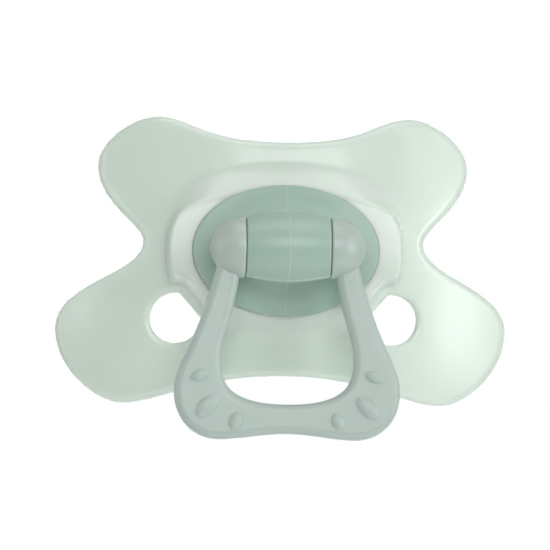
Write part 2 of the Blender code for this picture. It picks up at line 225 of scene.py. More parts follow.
# The knob's front from its rim up to the barrel: half-width, half-height and y, in millimetres.
KNOB_FLARE = (
    (11.0, 7.7, -4.80),
    (9.4, 6.95, -4.98),
    (7.84, 6.35, -5.16),
    (6.5, 5.65, -5.33),
    (5.6, 4.95, -5.52),
    (5.08, 4.2, -6.0),
    (4.85, 3.6, -6.8),
    (4.78, 3.3, -7.9),
    (4.76, 3.2, -9.5),
)
# Outer radius of the teat along its axis, from the flange to the tip, in millimetres.
TEAT_PROFILE = (
    (0.2, 5.6),
    (1.3, 6.7),
    (4.3, 6.7),
    (8.0, 5.9),
    (12.5, 6.4),
    (17.5, 8.3),
    (22.0, 9.0),
    (26.0, 7.9),
    (28.8, 5.0),
    (30.0, 0.0),
)

# Scales are in blobs a metre: clouds of about 8 mm, polish marks of 1 mm and a grain of 0.2 mm.
CLOUD_SCALE = 120.0
CLOUD_DETAIL = 2.0
CLOUD_CONTRAST = 0.015
POLISH_SCALE = 900.0
POLISH_DETAIL = 3.0
POLISH_SPREAD = 0.03
GRAIN_SCALE = 5000.0
GRAIN_DETAIL = 2.0
GRAIN_DEPTH = 0.0012 * MM
# The middle of a noise's range, which is stretched over the whole of a colour's or a roughness's range.
NOISE_MIDDLE = (0.3, 0.7)
PLASTIC_IOR = 1.49
# Base colour, roughness, share of light scattered inside, and each colour's reach there in millimetres.
SHIELD_MINT = ((0.685, 0.762, 0.698), 0.19, 0.9, (1.2, 1.6, 1.3))
KNOB_SAGE = ((0.36, 0.50, 0.425), 0.35, 0.4, (0.5, 0.6, 0.5))
RING_SAGE = ((0.44, 0.535, 0.49), 0.34, 0.4, (0.5, 0.6, 0.5))
PLUG_NATURAL = ((0.75, 0.78, 0.74), 0.4, 0.5, (1.0, 1.0, 1.0))
HAZY_SILICONE = ((0.93, 0.94, 0.91), 0.24, 0.0, (1.0, 1.0, 1.0))
SILICONE_IOR = 1.41
SILICONE_TRANSMISSION = 0.65
# Painted highlight: a paler colour along the knob's parting line, for the light that its thin ridge
# catches.
KNOB_LINE_HIGHLIGHT_COLOUR = (0.41, 0.54, 0.47)
# The painted highlight's full and faded edges, in half-widths of the parting line.
KNOB_LINE_HIGHLIGHT_EDGES = (0.4, 1.4)

# The tent's brightness is its level plus the slant's dot product with the direction that light comes from.
TENT_SLANT = (0.0, -0.09, 0.0)
TENT_LEVEL = 0.1
# Name, azimuth, elevation, distance, width, height and radiance of each soft box: degrees and metres.
SOFT_BOXES = (
    ("right_box", 62, 5, 1.0, 0.6, 0.8, 1.9),
    ("right_lamp", 58, 0, 1.0, 0.22, 0.4, 5.0),
    ("front_box", 5, 14, 1.2, 0.8, 0.5, 4.2),
    ("left_box", -85, 5, 1.0, 0.6, 0.8, 1.4),
    ("left_strip", -60, 2, 1.0, 0.1, 0.3, 4.0),
    ("low_box", 0, -70, 0.6, 0.7, 0.4, 0.6),
    ("low_front_box", 0, -40, 0.9, 0.8, 0.35, 0.4),
    ("top_box", 0, 75, 0.9, 0.8, 0.6, 1.9),
    ("back_box", 180, 5, 0.9, 1.3, 1.3, 1.8),
)
FLOOR_LEVEL = -0.6
FLOOR_GLOW = 0.72
FLOOR_HALF_WIDTH = 4.0
FLOOR_GREY = 0.86
FLOOR_ROUGHNESS = 0.9

# Angles in degrees, the sensor and its lens in millimetres, and the rest in metres.
CAMERA_AZIMUTH = -3.0
CAMERA_ELEVATION = -4.0
CAMERA_ROLL = -0.5
CAMERA_DISTANCE = 1.5
SENSOR_WIDTH = 36.0
VIEW_WIDTH = 0.0660
VIEW_CENTRE = (-1.06 * MM, -2.59 * MM)
CAMERA_CLIP = (0.05, 20.0)

TURNED_ALONG_Y = Matrix.Rotation(-math.pi / 2, 4, "X")
TURNED_ALONG_X = Matrix.Rotation(math.pi / 2, 4, "Y")
OUTLINE_TO_XZ = Matrix.Rotation(math.pi / 2, 4, "X")


# Mesh tools

def evaluated_mesh(obj):
    """The object's mesh with its modifiers applied; the object is removed."""
    bpy.context.scene.collection.objects.link(obj)
    depsgraph = bpy.context.evaluated_depsgraph_get()
    mesh = bpy.data.meshes.new_from_object(obj.evaluated_get(depsgraph))
    bpy.data.objects.remove(obj)
    return mesh


def weld(mesh):
    """Joins coincident points and turns every face outwards."""
    bm = bmesh.new()
    bm.from_mesh(mesh)
    bmesh.ops.remove_doubles(bm, verts=bm.verts, dist=WELD_DISTANCE)
    bmesh.ops.recalc_face_normals(bm, faces=bm.faces)
    bm.to_mesh(mesh)
    bm.free()


def combine(mesh, tool_mesh, operation):
    """The mesh after a Boolean with the tool; both inputs are used up."""
    base = bpy.data.objects.new("base", mesh)
    tool = bpy.data.objects.new("tool", tool_mesh)
    bpy.context.scene.collection.objects.link(tool)
    modifier = base.modifiers.new("combine", "BOOLEAN")
    modifier.operation = operation
    modifier.object = tool
    modifier.solver = "EXACT"
    result = evaluated_mesh(base)
    bpy.data.objects.remove(tool)
    return result


def turned_mesh(name, profile, steps, placement):
    """A solid turned about its own Z from (radius, height) points that run down its outer side."""
    line = bpy.data.meshes.new(name)
    points = [(radius, 0.0, height) for radius, height in profile]
    line.from_pydata(points, [(i, i + 1) for i in range(len(points) - 1)], [])
    turned = bpy.data.objects.new(name, line)
    screw = turned.modifiers.new("turn", "SCREW")
    screw.axis = "Z"
    screw.angle = 2 * math.pi
    screw.steps = steps
    screw.render_steps = steps
    screw.use_merge_vertices = True
    screw.merge_threshold = WELD_DISTANCE
    mesh = evaluated_mesh(turned)
    weld(mesh)
    mesh.transform(placement)
    return mesh


def arc_points(centre, radius, start, end, steps):
    """Points on an arc, with the angles in degrees."""
    points = []
    for i in range(steps + 1):
        angle = math.radians(start + (end - start) * i / steps)
        points.append((centre[0] + radius * math.cos(angle), centre[1] + radius * math.sin(angle)))
    return points


def smooth_curve(points, steps):
    """Points on a Catmull-Rom curve through the given points."""
    padded = [points[0], *points, points[-1]]
    smooth = []
    for i in range(len(points) - 1):
        p0, p1, p2, p3 = (Vector(p) for p in padded[i : i + 4])
        for k in range(steps):
            t = k / steps
            smooth.append(
                0.5
                * (
                    2 * p1
                    + (p2 - p0) * t
                    + (2 * p0 - 5 * p1 + 4 * p2 - p3) * t**2
                    + (3 * p1 - p0 - 3 * p2 + p3) * t**3
                )
            )
    smooth.append(Vector(points[-1]))
    return smooth


def smoothstep(t):
    """A soft step from 0 to 1 as t runs from 0 to 1."""
    t = min(max(t, 0.0), 1.0)
    return t * t * (3 - 2 * t)


def mirrored_loop(half):
    """Bezier nodes (point, handle before, handle after) of a closed outline from its right half."""
    nodes = [(Vector((x, z)), Vector(way).normalized(), before, after) for x, z, way, before, after in half]
    for point, way, before, after in reversed(nodes[1:-1]):
        nodes.append((Vector((-point.x, point.y)), Vector((way.x, -way.y)), after, before))
    return [(p * MM, (p - way * before) * MM, (p + way * after) * MM) for p, way, before, after in nodes]


def vent_loop(side):
    """A circle with a straight flat towards the knob; side is 1 on the right and -1 on the left."""
    centre = Vector((side * VENT_CENTRE[0], VENT_CENTRE[1]))
    half_gap = math.acos(VENT_FLAT_DISTANCE / VENT_RADIUS)
    step = (2 * math.pi - 2 * half_gap) / VENT_ARCS
    handle = 4 / 3 * math.tan(step / 4) * VENT_RADIUS
    nodes = []
    for i in range(VENT_ARCS + 1):
        angle = VENT_FLAT_ANGLE + half_gap + i * step
        outward = Vector((side * math.cos(angle), math.sin(angle)))
        along = Vector((-side * math.sin(angle), math.cos(angle)))
        point = centre + outward * VENT_RADIUS
        before = 0 if i == 0 else handle
        after = 0 if i == VENT_ARCS else handle
        nodes.append((point, point - along * before, point + along * after))
    return nodes


def wound(nodes, clockwise):
    """The loop's nodes in the asked-for direction."""
    area = sum(a[0].cross(b[0]) for a, b in zip(nodes, nodes[1:] + nodes[:1]))
    if (area < 0) == clockwise:
        return nodes
    return [(point, after, before) for point, before, after in reversed(nodes)]


def plate_mesh(name, outer, holes, thickness, edge_radius, resolution, edge_steps):
    """A plate in the XZ plane, centred on y = 0; its edges are rounded within its outline and holes."""
    curve = bpy.data.curves.new(name, "CURVE")
    curve.dimensions = "2D"
    curve.fill_mode = "BOTH"
    curve.resolution_u = resolution
    curve.extrude = thickness / 2 - edge_radius
    curve.bevel_depth = edge_radius
    curve.bevel_resolution = edge_steps
    curve.offset = -edge_radius
    for nodes in [wound(outer, True), *(wound(hole, False) for hole in holes)]:
        spline = curve.splines.new("BEZIER")
        spline.bezier_points.add(len(nodes) - 1)
        for bezier, (point, before, after) in zip(spline.bezier_points, nodes):
            bezier.handle_left_type = "FREE"
            bezier.handle_right_type = "FREE"
            bezier.co = (*point, 0)
            bezier.handle_left = (*before, 0)
            bezier.handle_right = (*after, 0)
        spline.use_cyclic_u = True
    mesh = evaluated_mesh(bpy.data.objects.new(name, curve))
    weld(mesh)
    mesh.transform(OUTLINE_TO_XZ)
    return mesh


def oval_reach(turn, squareness):
    """The factor that turns the unit circle's point at an angle into an oval's; 2 leaves it a circle."""
    return (abs(math.cos(turn)) ** squareness + abs(math.sin(turn)) ** squareness) ** (-1 / squareness)


def inside_loops(points, edges):
    """True for each point that lies inside the area that the edges bound, holes left out."""
    points, edges = np.array(points), np.array(edges)
    inside = np.zeros(len(points), bool)
    for (x1, z1), (x2, z2) in edges:
        crosses = (points[:, 1] < z1) != (points[:, 1] < z2)
        reach = x1 + (points[:, 1] - z1) / np.where(z1 == z2, 1.0, z2 - z1) * (x2 - x1)
        inside ^= crosses & (points[:, 0] < reach)
    return inside


def flat_points(rim_points, edges, pitch, extra_points):
    """Points inside a flat face: the extra ones and a triangular grid, clear of the rim and each other."""
    taken = KDTree(len(rim_points) + len(extra_points))
    for i, point in enumerate(rim_points):
        taken.insert((*point, 0), i)
    taken.balance()
    points = [p for p in extra_points if taken.find((*p, 0))[2] > EXTRA_POINT_CLEARANCE * pitch]
    for i, point in enumerate(points):
        taken.insert((*point, 0), len(rim_points) + i)
    taken.balance()
    reach_x = max(abs(p.x) for p in rim_points)
    reach_z = max(abs(p.y) for p in rim_points)
    row_height = pitch * math.sqrt(3) / 2
    rows, columns = int(reach_z / row_height) + 1, int(reach_x / pitch) + 1
    for row in range(-rows, rows + 1):
        for column in range(-columns, columns + 1):
            point = Vector(((column + 0.5 * (row % 2)) * pitch, row * row_height))
            if taken.find((*point, 0))[2] > GRID_POINT_CLEARANCE * pitch:
                points.append(point)
    inside = inside_loops([tuple(p) for p in points], edges)
    return [p for p, ok in zip(points, inside) if ok]


def fill_flat(bm, rim, pitch, extra_points):
    """Fills the open rim, which lies in a plane across Y, with fine triangles."""
    rim_verts = list(dict.fromkeys(v for e in rim for v in e.verts))
    number = {v: i for i, v in enumerate(rim_verts)}
    rim_points = [Vector((v.co.x, v.co.z)) for v in rim_verts]
    edges = [((e.verts[0].co.x, e.verts[0].co.z), (e.verts[1].co.x, e.verts[1].co.z)) for e in rim]
    points = rim_points + flat_points(rim_points, edges, pitch, extra_points)
    constraints = [(number[e.verts[0]], number[e.verts[1]]) for e in rim]
    coords, _, faces, origins, _, _ = delaunay_2d_cdt(points, constraints, [], 0, TRIANGULATION_TOLERANCE)
    middles = [sum((coords[i] for i in face), Vector((0, 0))) / 3 for face in faces]
    within = inside_loops([tuple(p) for p in middles], edges)
    level = min(v.co.y for v in rim_verts)
    verts = []
    for coord, origin in zip(coords, origins):
        on_rim = [i for i in origin if i < len(rim_verts)]
        verts.append(rim_verts[on_rim[0]] if on_rim else bm.verts.new((coord.x, level, coord.y)))
    for face, ok in zip(faces, within):
        if ok:
            bm.faces.new([verts[i] for i in face])


def refill_flats(mesh, pitch, extra_points=()):
    """Replaces the plate's two flat faces by fine triangles, so that they can take a shape."""
    bm = bmesh.new()
    bm.from_mesh(mesh)
    flats = [f for f in bm.faces if abs(f.normal.y) > FLAT_FACE_NORMAL]
    bmesh.ops.delete(bm, geom=flats, context="FACES")
    for side in (-1, 1):
        rim = [e for e in bm.edges if e.is_boundary and e.verts[0].co.y * side > 0]
        fill_flat(bm, rim, pitch, extra_points)
    bmesh.ops.recalc_face_normals(bm, faces=bm.faces)
    bm.to_mesh(mesh)
    bm.free()


def add_piece(name, mesh, material, sharp_angle):
    """Puts the mesh in the scene, smooth but for edges that bend more than the angle in degrees."""
    mesh.materials.clear()
    mesh.materials.append(material)
    mesh.shade_smooth()
    mesh.set_sharp_from_angle(angle=math.radians(sharp_angle))
    piece = bpy.data.objects.new(name, mesh)
    bpy.context.scene.collection.objects.link(piece)
    return piece


def place_piece(piece, node, body):
    """Ties the piece to its body and lets it stand for its CAD node."""
    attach(piece, body)
    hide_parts(node)


# Shield

def shield_sag(x, z):
    """How far the shield curves back, towards the cheeks and the chin."""
    return x**2 / (2 * SHIELD_BEND_RADIUS_X) + z**2 / (2 * SHIELD_BEND_RADIUS_Z)


def platform_point(x, z):
    """How far down the platform's flank a point lies and how gentle the flank is there, from 0 to 1."""
    across, up = abs(x) / PLATFORM_SEMI_AXES[0], abs(z) / PLATFORM_SEMI_AXES[1]
    ring = (across**PLATFORM_SQUARENESS + up**PLATFORM_SQUARENESS) ** (1 / PLATFORM_SQUARENESS)
    ring = max(ring, SMALLEST_RING)
    start, length = PLATFORM_SPREAD_ABOVE if z > 0 else PLATFORM_SPREAD_BELOW
    spread = smoothstep(((up / ring) ** 2 - start) / length)
    narrow, wide = PLATFORM_FLANKS
    beyond = (ring - 1) / ring * math.hypot(x, z) + PLATFORM_INSET * spread**2
    return min(max(beyond / (narrow * (wide / narrow) ** spread), 0.0), 1.0), spread


def vent_distance(x, z):
    """How far a point of the shield lies from the nearer vent hole."""
    across, up = abs(x) - VENT_CENTRE[0], z - VENT_CENTRE[1]
    beyond_flat = across * math.cos(VENT_FLAT_ANGLE) + up * math.sin(VENT_FLAT_ANGLE) - VENT_FLAT_DISTANCE
    return max(math.hypot(across, up) - VENT_RADIUS, beyond_flat)


def platform_rise(x, z):
    """How far the platform's front stands before the curved plate's."""
    down, spread = platform_point(x, z)
    clear = smoothstep((vent_distance(x, z) - SHIELD_EDGE_RADIUS) / PLATFORM_VENT_MARGIN)
    plate = SHIELD_THICKNESS - SHIELD_CENTRE_BACK - shield_sag(x, z)
    top = -PLATFORM_FRONT - z**2 / (2 * PLATFORM_BEND_RADIUS_Z)
    # Beside the knob the flank is a steep round shoulder, and above and below it a soft slope.
    share = (1 - spread) * math.cos(math.pi / 2 * down) + spread * (1 - smoothstep(down))
    return clear * share * (top - plate)


def platform_rings():
    """Points along the platform's crest and its steep flanks, where the mesh has to be fine."""
    width, height = PLATFORM_SEMI_AXES
    points = []
    for row, beyond in enumerate(PLATFORM_RINGS):
        for k in range(PLATFORM_RING_POINTS):
            turn = 2 * math.pi * (k + 0.5 * (row % 2)) / PLATFORM_RING_POINTS
            reach = oval_reach(turn, PLATFORM_SQUARENESS)
            oval = Vector((width * math.cos(turn), height * math.sin(turn))) * reach
            if platform_point(*oval)[1] < PLATFORM_STEEP_SPREAD:
                points.append(oval * (1 + beyond * MM / oval.length))
    return points


def shape_shield(mesh):
    """Bends the flat plate, raises the platform on its front and fills out the boss on its back."""
    half = SHIELD_THICKNESS / 2
    middle = SHIELD_CENTRE_BACK - half
    foot = BOSS_FOOT_RADIUS - BOSS_FLAT_RADIUS
    bm = bmesh.new()
    bm.from_mesh(mesh)
    for v in bm.verts:
        x, y, z = v.co
        sag = shield_sag(x, z)
        front_share = min(max(-y / half, 0.0), 1.0)
        back_share = min(max(y / half, 0.0), 1.0)
        raised = front_share * platform_rise(x, z)
        boss_share = 1 - smoothstep((math.hypot(x, z) - BOSS_FLAT_RADIUS) / foot)
        backed = max(-(middle + half + sag), 0.0)
        v.co.y = middle + y + sag - raised + back_share * boss_share * backed
    bm.to_mesh(mesh)
    bm.free()


def build_shield(material):
    vents = [vent_loop(1), vent_loop(-1)]
    outline = mirrored_loop(SHIELD_OUTLINE)
    mesh = plate_mesh(
        "shield", outline, vents, SHIELD_THICKNESS, SHIELD_EDGE_RADIUS, SHIELD_CURVE_STEPS, ROUNDING_STEPS
    )
    refill_flats(mesh, SHIELD_GRID, platform_rings())
    shape_shield(mesh)
    bore = [(0.0, OVERRUN), (NECK_HOLE_RADIUS + NECK_HOLE_ROUNDING, OVERRUN)]
    rounding_centre = (NECK_HOLE_RADIUS + NECK_HOLE_ROUNDING, -NECK_HOLE_ROUNDING)
    bore += arc_points(rounding_centre, NECK_HOLE_ROUNDING, 90, 180, ROUNDING_STEPS)
    bore += [
        (NECK_HOLE_RADIUS, FLANGE_RECESS_FLOOR),
        (FLANGE_RECESS_RADIUS, FLANGE_RECESS_FLOOR),
        (FLANGE_RECESS_RADIUS, PLATFORM_FRONT - OVERRUN),
        (0.0, PLATFORM_FRONT - OVERRUN),
    ]
    mesh = combine(mesh, turned_mesh("bore", bore, BORE_SEGMENTS, TURNED_ALONG_Y), "DIFFERENCE")
    seat_front = PLATFORM_FRONT - OVERRUN
    seat = ((0.0, SEAT_FLOOR), (1.0, SEAT_FLOOR), (1.0, seat_front), (0.0, seat_front))
    seat_mesh = turned_mesh("seat", seat, SEAT_SEGMENTS, TURNED_ALONG_Y)
    seat_mesh.transform(Matrix.Diagonal((SEAT_SEMI_AXES[0], 1, SEAT_SEMI_AXES[1], 1)))
    mesh = combine(mesh, seat_mesh, "DIFFERENCE")
    shield = add_piece("mouth_shield", mesh, material, SHIELD_SHARP_ANGLE)
    place_piece(shield, "shield", "mouthpiece")


# Knob

def parting_line(x):
    """Height of the moulding's parting line at a distance from the middle plane."""
    return PARTING_LINE_HEIGHT * (1 - smoothstep(abs(x) / PARTING_LINE_HALF_WIDTH / PARTING_LINE_FOOT))


def flared_mesh():
    """The plate and the column under the barrel: oval sections from the back to the barrel's axis."""
    half_width, half_height, _ = KNOB_FLARE[0]
    rim_middle = (KNOB_RIM_FRONT + KNOB_PLATE_BACK) / 2 / MM
    rim = KNOB_RIM_ROUNDING / MM
    levels = []
    for i in range(KNOB_RIM_STEPS + 1):
        turn = math.pi * (i / KNOB_RIM_STEPS - 0.5)
        swell = rim * math.cos(turn)
        depth = (KNOB_RIM_FRONT - KNOB_PLATE_BACK) / 2 / MM * math.sin(turn)
        levels.append((half_width + swell, half_height + swell, rim_middle + depth))
    levels += [tuple(p) for p in smooth_curve(KNOB_FLARE, KNOB_FLARE_STEPS)[1:]]
    bm = bmesh.new()
    rings = []
    for level, (width, height, y) in enumerate(levels):
        grown = smoothstep((level - KNOB_SQUARENESS_START) / KNOB_SQUARENESS_LEVELS)
        squareness = 2.0 + KNOB_SQUARENESS_GROWTH * grown
        ring = []
        for k in range(KNOB_SEGMENTS):
            turn = 2 * math.pi * k / KNOB_SEGMENTS
            angle = turn + KNOB_CROWDING * math.sin(2 * turn)
            reach = oval_reach(angle, squareness)
            x, z = width * math.cos(angle) * reach * MM, height * math.sin(angle) * reach * MM
            ring.append(bm.verts.new((x, y * MM, z)))
        rings.append(ring)
    for lower, upper in zip(rings, rings[1:]):
        for k in range(KNOB_SEGMENTS):
            j = (k + 1) % KNOB_SEGMENTS
            bm.faces.new((lower[k], lower[j], upper[j], upper[k]))
    bm.faces.new(rings[0])
    bm.faces.new(rings[-1])
    bmesh.ops.recalc_face_normals(bm, faces=bm.faces)
    bm.normal_update()
    for ring in rings[PARTING_LINE_FIRST_LEVEL:]:
        for v in ring:
            v.co += v.normal * parting_line(v.co.x)
    mesh = bpy.data.meshes.new("knob")
    bm.to_mesh(mesh)
    bm.free()
    return mesh


def barrel_mesh():
    """The barrel, thicker in the middle, with rounded ends and the parting line round it."""
    swell = BARREL_MIDDLE_RADIUS - BARREL_END_RADIUS
    rounding = BARREL_END_ROUNDING
    flat_end = BARREL_HALF_LENGTH - rounding
    line = PARTING_LINE_FOOT * PARTING_LINE_HALF_WIDTH
    stations = [line * (i / BARREL_LINE_STEPS - 1) for i in range(2 * BARREL_LINE_STEPS + 1)]
    for i in range(1, BARREL_SIDE_STEPS + 1):
        station = line + (flat_end - line) * i / BARREL_SIDE_STEPS
        stations += [station, -station]
    outside = []
    for x in sorted(stations, reverse=True):
        radius = BARREL_END_RADIUS + swell * (1 - (x / BARREL_HALF_LENGTH) ** 2)
        outside.append((radius + parting_line(x), x))
    end_radius = outside[0][0]
    right = arc_points((end_radius - rounding, flat_end), rounding, 90, 0, ROUNDING_STEPS)
    left = [(radius, -x) for radius, x in reversed(right)]
    profile = [(0.0, BARREL_HALF_LENGTH), *right[:-1], *outside, *left[1:], (0.0, -BARREL_HALF_LENGTH)]
    mesh = turned_mesh("barrel", profile, BARREL_SEGMENTS, TURNED_ALONG_X)
    for v in mesh.vertices:
        angle = math.degrees(math.atan2(-v.co.z, -v.co.y))
        lip = LIP_HEIGHT * (1 - smoothstep(abs(angle - LIP_ANGLE) / LIP_HALF_WIDTH))
        undercut = UNDERCUT_DEPTH * smoothstep((angle - LIP_ANGLE) / UNDERCUT_WIDTH)
        radius = math.hypot(v.co.y, v.co.z)
        if radius > BARREL_END_RADIUS / 2:
            v.co.yz = v.co.yz * ((radius + lip - undercut) / radius)
    mesh.transform(Matrix.Translation((0, AXIS_Y, 0)))
    return mesh


def build_knob(material):
    mesh = combine(flared_mesh(), barrel_mesh(), "UNION")
    stem = ((0.0, STEM_END), (STEM_RADIUS, STEM_END), (STEM_RADIUS, KNOB_RIM_FRONT), (0.0, KNOB_RIM_FRONT))
    mesh = combine(mesh, turned_mesh("stem", stem, STEM_SEGMENTS, TURNED_ALONG_Y), "UNION")
    radius, core_end, core_floor = STEM_CORE_RADIUS, STEM_END + OVERRUN, AXIS_Y / 2
    core = ((0.0, core_end), (radius, core_end), (radius, core_floor), (0.0, core_floor))
    mesh = combine(mesh, turned_mesh("core", core, STEM_CORE_SEGMENTS, TURNED_ALONG_Y), "DIFFERENCE")
    outer, inner = BARREL_HALF_LENGTH + OVERRUN, BARREL_HALF_LENGTH - SOCKET_DEPTH
    socket = ((0.0, outer), (SOCKET_RADIUS, outer), (SOCKET_RADIUS, inner), (0.0, inner))
    for side in (1, -1):
        to_end = Matrix.Translation((0, AXIS_Y, 0)) @ Matrix.Rotation(side * math.pi / 2, 4, "Y")
        mesh = combine(mesh, turned_mesh("socket", socket, SOCKET_SEGMENTS, to_end), "DIFFERENCE")
    knob = add_piece("front_knob", mesh, material, KNOB_SHARP_ANGLE)
    place_piece(knob, "knob", "mouthpiece")


# Ring

def bump_height(x, z):
    """Height of the leaf-shaped grip bumps at a point of the ring's front face, in metres."""
    height = 0.0
    for bump_x, bump_z, length, width, angle in RING_BUMPS:
        turn = math.radians(angle)
        dx, dz = abs(x) / MM - bump_x, z / MM - bump_z
        along = (dx * math.cos(turn) + dz * math.sin(turn)) / (length / 2)
        across = (-dx * math.sin(turn) + dz * math.cos(turn)) / (width / 2)
        leaf = abs(along) ** BUMP_SQUARENESS + abs(across) ** BUMP_SQUARENESS
        if leaf < BUMP_FOOT_REACH:
            dome = math.sqrt(max(1 - leaf, 0.0))
            foot = 1 - smoothstep(leaf / BUMP_FOOT_REACH)
            height += BUMP_HEIGHT * (BUMP_DOME_SHARE * dome + BUMP_FOOT_SHARE * foot)
    return height


def shape_ring(mesh):
    """Raises the grip bumps on the plate's front."""
    bm = bmesh.new()
    bm.from_mesh(mesh)
    half = RING_THICKNESS / 2
    for v in bm.verts:
        front_share = smoothstep((-v.co.y / half - BUMPED_FROM) / BUMPED_DEPTH)
        v.co.y -= front_share * bump_height(v.co.x, v.co.z)
    bm.to_mesh(mesh)
    bm.free()


def build_ring(material):
    outline = mirrored_loop(RING_OUTLINE)
    mesh = plate_mesh(
        "ring", outline, [], RING_THICKNESS, RING_EDGE_RADIUS, RING_CURVE_STEPS, RING_EDGE_STEPS
    )
    refill_flats(mesh, RING_GRID)
    shape_ring(mesh)
    profile = []
    rim = DOME_RIM_ROUNDING
    for i in range(DOME_STEPS + 1):
        angle = math.radians(90 - DOME_SWEEP * i / DOME_STEPS)
        profile.append((DOME_BASE_RADIUS * math.cos(angle), rim + (DOME_LENGTH - rim) * math.sin(angle)))
    profile += arc_points((DOME_BASE_RADIUS - rim, rim), rim, 0, -90, ROUNDING_STEPS)
    profile += [(PIN_RADIUS, 0.0), (PIN_RADIUS, -PIN_LENGTH), (0.0, -PIN_LENGTH)]
    for side in (1, -1):
        turned = Matrix.Rotation(side * math.pi / 2, 4, "Y")
        to_end = Matrix.Translation((side * DOME_START, 0, 0)) @ turned
        mesh = combine(mesh, turned_mesh("dome", profile, DOME_SEGMENTS, to_end), "UNION")
    mesh.transform(Matrix.Translation((0, AXIS_Y, 0)))
    ring = add_piece("carrying_ring", mesh, material, RING_SHARP_ANGLE)
    place_piece(ring, "ring_handle", "ring")


# Teat and plug

def build_teat(material):
    smooth = smooth_curve(TEAT_PROFILE, TEAT_CURVE_STEPS)
    outside = [(max(radius, 0.0) * MM, height * MM) for height, radius in reversed(smooth)]
    outside += [(TEAT_NECK_RADIUS, TEAT_FLANGE_BACK), (TEAT_FLANGE_RADIUS, TEAT_FLANGE_BACK)]
    mesh = turned_mesh("teat", outside, TEAT_SEGMENTS, TURNED_ALONG_Y)
    for v in mesh.vertices:
        t = (v.co.y - TEAT_ROUND_UNTIL) / (TEAT_FLAT_FROM - TEAT_ROUND_UNTIL)
        v.co.z *= 1 - (1 - TEAT_FLATNESS) * smoothstep(t)
    skin = bpy.data.objects.new("teat_skin", mesh)
    wall = skin.modifiers.new("wall", "SOLIDIFY")
    wall.thickness = TEAT_WALL
    wall.offset = -1
    wall.use_even_offset = True
    teat = add_piece("silicone_teat", evaluated_mesh(skin), material, TEAT_SHARP_ANGLE)
    place_piece(teat, "teat", "mouthpiece")


def build_plug(material):
    profile = []
    for i in range(PLUG_HEAD_STEPS + 1):
        angle = math.radians(90 - 90 * i / PLUG_HEAD_STEPS)
        radius = PLUG_HEAD_RADIUS * math.cos(angle) ** PLUG_HEAD_FULLNESS if i else 0.0
        rise = (PLUG_HEAD_LENGTH - PLUG_HEAD_EDGE) * math.sin(angle)
        profile.append((radius, PLUG_HEAD_START + PLUG_HEAD_EDGE + rise))
    profile += [
        (PLUG_HEAD_RADIUS, PLUG_HEAD_START),
        (PLUG_SHANK_RADIUS, PLUG_HEAD_START),
        (PLUG_SHANK_RADIUS, PLUG_SHANK_END + PLUG_CHAMFER),
        (PLUG_SHANK_RADIUS - PLUG_CHAMFER, PLUG_SHANK_END),
        (0.0, PLUG_SHANK_END),
    ]
    mesh = turned_mesh("plug", profile, PLUG_SEGMENTS, TURNED_ALONG_Y)
    plug = add_piece("locking_plug", mesh, material, PLUG_SHARP_ANGLE)
    place_piece(plug, "teat_plug", "mouthpiece")


# Materials

def noise(nodes, links, place, scale, detail):
    """Noise over the piece's own space; the scale is in blobs a metre."""
    texture = nodes.new("ShaderNodeTexNoise")
    texture.inputs["Scale"].default_value = scale
    texture.inputs["Detail"].default_value = detail
    links.new(place.outputs["Object"], texture.inputs["Vector"])
    return texture.outputs["Fac"]


def between(nodes, links, share, low, high):
    """A value that runs from low to high as a noise runs over the middle of its range."""
    spread = nodes.new("ShaderNodeMapRange")
    spread.inputs["From Min"].default_value = NOISE_MIDDLE[0]
    spread.inputs["From Max"].default_value = NOISE_MIDDLE[1]
    spread.inputs["To Min"].default_value = low
    spread.inputs["To Max"].default_value = high
    links.new(share, spread.inputs["Value"])
    return spread.outputs["Result"]


def tinted(nodes, links, share, first, second):
    """A colour that runs from the first to the second with the share."""
    mix = nodes.new("ShaderNodeMix")
    mix.data_type = "RGBA"
    mix.inputs["A"].default_value = (*first, 1)
    mix.inputs["B"].default_value = (*second, 1)
    links.new(share, mix.inputs["Factor"])
    return mix.outputs["Result"]


def with_painted_line_highlight(nodes, links, place, tint, line_highlight_colour):
    """The tint, running into a painted highlight's paler colour round the piece's middle plane, where the
    parting line's ridge is.
    """
    split = nodes.new("ShaderNodeSeparateXYZ")
    off_middle = nodes.new("ShaderNodeMath")
    off_middle.operation = "ABSOLUTE"
    highlight_mask = nodes.new("ShaderNodeMapRange")
    highlight_mask.inputs["From Min"].default_value = PARTING_LINE_HALF_WIDTH * KNOB_LINE_HIGHLIGHT_EDGES[0]
    highlight_mask.inputs["From Max"].default_value = PARTING_LINE_HALF_WIDTH * KNOB_LINE_HIGHLIGHT_EDGES[1]
    highlight_mask.inputs["To Min"].default_value = 1.0
    highlight_mask.inputs["To Max"].default_value = 0.0
    links.new(place.outputs["Object"], split.inputs["Vector"])
    links.new(split.outputs["X"], off_middle.inputs[0])
    links.new(off_middle.outputs["Value"], highlight_mask.inputs["Value"])
    line = nodes.new("ShaderNodeMix")
    line.data_type = "RGBA"
    line.inputs["B"].default_value = (*line_highlight_colour, 1)
    links.new(tint, line.inputs["A"])
    links.new(highlight_mask.outputs["Result"], line.inputs["Factor"])
    return line.outputs["Result"]


